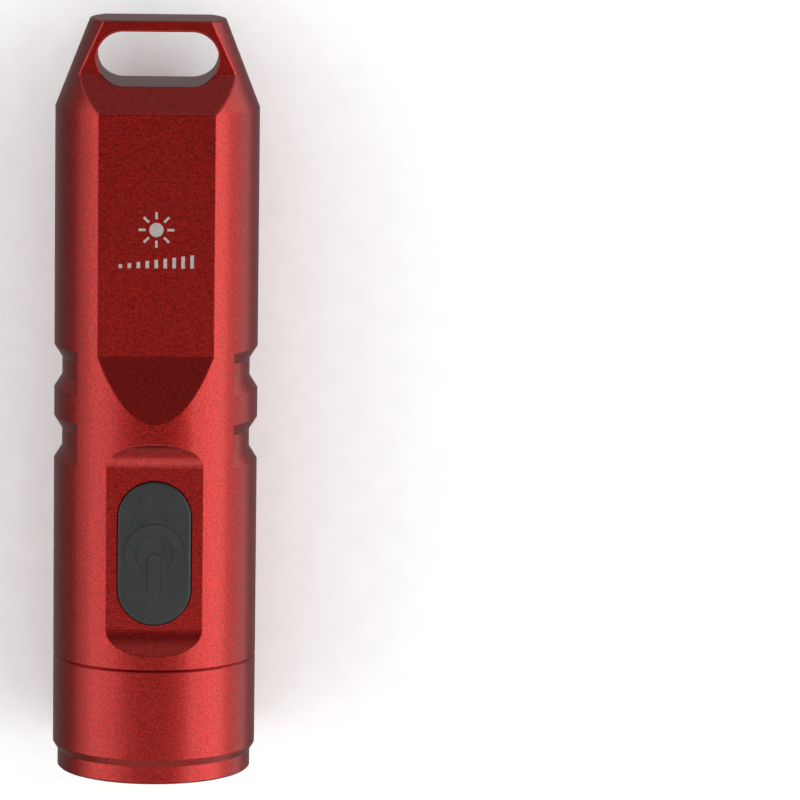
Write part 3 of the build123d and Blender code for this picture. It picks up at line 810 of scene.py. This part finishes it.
class FLASHLIGHT_OT_inside(bpy.types.Operator):
    """Finish the emitter, the circuit board, the wires, the battery and the seals inside"""

    bl_idname = "flashlight.inside"
    bl_label = "Inside parts"

    def execute(self, context):
        black_rubber = speckled("seal_rubber", (0.022, 0.022, 0.023), 0.10, 0.004, 0.45, 0.62, 0.22)
        white_plastic = speckled("holder_plastic", (0.74, 0.74, 0.72), 0.20, 0.003, 0.30, 0.42, 0.05)
        clear = speckled("clear_silicone", (0.96, 0.97, 0.93), 0.40, 0.001, 0.03, 0.08, 0.02)
        clear.set(transmission_weight=0.9, ior=1.41)
        phosphor = speckled("phosphor", (0.78, 0.62, 0.06), 0.03, 0.002, 0.55, 0.7, 0.14)
        ceramic = speckled("emitter_ceramic", (0.82, 0.81, 0.77), 0.06, 0.002, 0.32, 0.48, 0.05)
        core = speckled("metal_core_board", (0.78, 0.78, 0.76), 0.15, 0.003, 0.28, 0.44, 0.07)
        plastic = speckled("board_plastic", (0.020, 0.020, 0.021), 0.09, 0.006, 0.42, 0.6, 0.25)
        epoxy = speckled("chip_epoxy", (0.018, 0.018, 0.019), 0.05, 0.004, 0.5, 0.66, 0.28)
        ferrite = speckled("ferrite", (0.055, 0.055, 0.058), 0.07, 0.010, 0.55, 0.75, 0.30)
        tan = speckled("passive_ceramic", (0.36, 0.25, 0.14), 0.12, 0.003, 0.3, 0.5, 0.35)
        foam = speckled("battery_foam", (0.20, 0.20, 0.21), 0.16, 0.05, 0.8, 0.95, 0.35)
        black_wire = speckled("black_wire", (0.016, 0.016, 0.017), 0.20, 0.004, 0.28, 0.40, 0.2)
        red_wire = speckled("red_wire", (0.55, 0.018, 0.012), 0.20, 0.004, 0.28, 0.40, 0.10)
        finishes = {
            "head_seal": black_rubber,
            "lens_gasket": black_rubber,
            "lens_holder": white_plastic,
            "led_dome": clear,
            "indicator_leds": clear,
            "led_phosphor": phosphor,
            "led_substrate": ceramic,
            "led_board": core,
            "heat_spreader": turned_metal("turned_aluminium", (0.74, 0.74, 0.75)),
            "board_carrier": plastic,
            "switch_base": plastic,
            "switch_stem": plastic,
            "usb_tongue": plastic,
            "main_board": board_finish(),
            "switch_cover": brushed_metal("switch_steel", (0.60, 0.60, 0.61)),
            "switch_disc": brushed_metal("dome_steel", (0.66, 0.65, 0.62)),
            "usb_shell": brushed_metal("socket_steel", (0.55, 0.55, 0.56)),
            "battery_tabs": brushed_metal("nickel_tab", (0.63, 0.60, 0.54)),
            "usb_contacts": brushed_metal("gold_contact", (0.83, 0.60, 0.22)),
            "battery_cell": brushed_metal("cell_can", (0.52, 0.52, 0.53)),
            "controller_chip": epoxy,
            "charger_chip": epoxy,
            "power_inductor": ferrite,
            "board_passives": tan,
            "battery_pad": foam,
            "battery_wrap": wrap_finish(),
            "led_lead_negative": black_wire,
            "battery_lead_negative": black_wire,
            "led_lead_positive": red_wire,
            "battery_lead_positive": red_wire,
        }
        for node, finish in finishes.items():
            dress(node, finish)
        return {"FINISHED"}


def add_floor(scene):
    """A wide pale floor under the light."""
    level = min(0.0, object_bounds()[0][2])
    corners = [(x * FLOOR_HALF, y * FLOOR_HALF, level) for x, y in ((-1, -1), (1, -1), (1, 1), (-1, 1))]
    floor_mesh = bpy.data.meshes.new("floor")
    floor_mesh.from_pydata(corners, [], [(0, 1, 2, 3)])
    floor = bpy.data.objects.new("floor", floor_mesh)
    scene.collection.objects.link(floor)
    paper = Finish("floor_paper")
    fibre = paper.noise(2.0, 4.0)
    paper.feed(paper.ramp(fibre, [(0.3, (0.88, 0.88, 0.88)), (0.7, (0.91, 0.91, 0.91))]), "Base Color")
    paper.set(roughness=0.9, specular_ior_level=0.1)
    floor.data.materials.append(paper.material)
    floor.visible_glossy = False
    floor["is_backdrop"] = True


def add_lamps(scene):
    """Soft lamps at an angle from straight up, toward X or toward Y, all facing the light."""
    for name, toward, degrees, size, power in LAMPS:
        angle = math.radians(degrees)
        if toward == "X":
            away = Vector((math.sin(angle), 0, math.cos(angle)))
            side = Vector((0, 1, 0))
        else:
            away = Vector((0, math.sin(angle), math.cos(angle)))
            side = Vector((-1, 0, 0))
        lamp = bpy.data.lights.new(name, "AREA")
        lamp.shape = "RECTANGLE"
        lamp.size, lamp.size_y = size
        lamp.energy = power
        holder = bpy.data.objects.new(name, lamp)
        holder.visible_camera = False
        place = Vector((0, 0, AXIS_LEVEL)) + away * LAMP_REACH
        first = side.cross(away).normalized()
        turned = Matrix((first, side, away)).transposed().to_4x4()
        holder.matrix_world = Matrix.Translation(place) @ turned
        scene.collection.objects.link(holder)


def add_room(scene):
    """A grey room that the metal reflects, darkest overhead and below."""
    world = bpy.data.worlds.new("soft_room")
    world.use_nodes = True
    room = NodeWork(world.node_tree)
    direction = room.nodes.new("ShaderNodeTexCoord")
    split = room.nodes.new("ShaderNodeSeparateXYZ")
    room.links.new(direction.outputs["Generated"], split.inputs["Vector"])
    x, y, z = (split.outputs[axis] for axis in "XYZ")

    # Below the horizon the grey follows X as well as height, so that the right side isn't black
    lifted = room.maths("MINIMUM", room.maths("MULTIPLY_ADD", x, RIGHT_SIDE_LIFT, z), 0.0)
    greys = []
    for value, stops in ((room.maths("MAXIMUM", z, lifted), ROOM_BY_HEIGHT), (y, ROOM_ALONG_Y)):
        colours = [(position, (grey, grey, grey)) for position, grey in stops]
        greys.append(room.ramp(room.spread(value, 0.0, 1.0, -1.0, 1.0), colours))
    background = room.nodes["Background"]
    room.links.new(greys[0], background.inputs["Color"])
    room.links.new(room.maths("MULTIPLY", greys[1], ROOM_STRENGTH), background.inputs["Strength"])
    scene.world = world


def add_camera(scene):
    """A long lens above the light, tipped a little forward, turned and rolled."""
    pitch, yaw, roll = (math.radians(angle) for angle in (CAMERA_PITCH, CAMERA_YAW, CAMERA_ROLL))
    forward = Vector(
        (math.sin(yaw) * math.cos(pitch), -math.sin(pitch), -math.cos(yaw) * math.cos(pitch))
    )
    right = Vector((math.cos(yaw), 0, math.sin(yaw)))
    up = right.cross(forward)
    right_rolled = math.cos(roll) * right + math.sin(roll) * up
    up_rolled = math.cos(roll) * up - math.sin(roll) * right
    camera_data = bpy.data.cameras.new("camera")
    camera_data.lens = CAMERA_LENS
    camera_data.sensor_width = CAMERA_SENSOR
    camera_data.clip_start = CAMERA_CLIP_START
    camera = bpy.data.objects.new("camera", camera_data)
    turned = Matrix((right_rolled, up_rolled, -forward)).transposed().to_4x4()
    camera.matrix_world = Matrix.Translation(Vector(CAMERA_EYE)) @ turned
    scene.collection.objects.link(camera)
    scene.camera = camera


class FLASHLIGHT_OT_stage(bpy.types.Operator):
    """Set the floor, the soft lights, the room and the camera"""

    bl_idname = "flashlight.stage"
    bl_label = "Stage"

    def execute(self, context):
        scene = context.scene
        add_floor(scene)
        add_lamps(scene)
        add_room(scene)
        add_camera(scene)
        scene.view_settings.view_transform = "Standard"
        return {"FINISHED"}


PIECE_OPERATORS = (
    FLASHLIGHT_OT_body,
    FLASHLIGHT_OT_button,
    FLASHLIGHT_OT_port_cover,
    FLASHLIGHT_OT_lens,
    FLASHLIGHT_OT_marks,
    FLASHLIGHT_OT_inside,
    FLASHLIGHT_OT_stage,
)


class FLASHLIGHT_PT_panel(bpy.types.Panel):
    """Lists the flashlight's pieces, sizes and colours"""

    bl_idname = "FLASHLIGHT_PT_panel"
    bl_label = "Flashlight"
    bl_space_type = "VIEW_3D"
    bl_region_type = "UI"
    bl_category = "Flashlight"

    def draw(self, context):
        layout = self.layout
        for group in (context.scene.flashlight_finish, context.scene.flashlight_sizes):
            for key in group.bl_rna.properties.keys():
                if key not in ("rna_type", "name"):
                    layout.prop(group, key)
        for operator in PIECE_OPERATORS:
            layout.operator(operator.bl_idname)


CLASSES = (FlashlightFinish, FlashlightSizes, *PIECE_OPERATORS, FLASHLIGHT_PT_panel)


def register():
    for cls in CLASSES:
        bpy.utils.register_class(cls)
    bpy.types.Scene.flashlight_finish = bpy.props.PointerProperty(type=FlashlightFinish)
    bpy.types.Scene.flashlight_sizes = bpy.props.PointerProperty(type=FlashlightSizes)


def unregister():
    del bpy.types.Scene.flashlight_sizes
    del bpy.types.Scene.flashlight_finish
    for cls in reversed(CLASSES):
        bpy.utils.unregister_class(cls)


def main():
    register()
    bpy.ops.flashlight.body()
    bpy.ops.flashlight.button()
    bpy.ops.flashlight.port_cover()
    bpy.ops.flashlight.lens()
    bpy.ops.flashlight.marks()
    bpy.ops.flashlight.inside()
    bpy.ops.flashlight.stage()


if __name__ == "__main__":
    main()
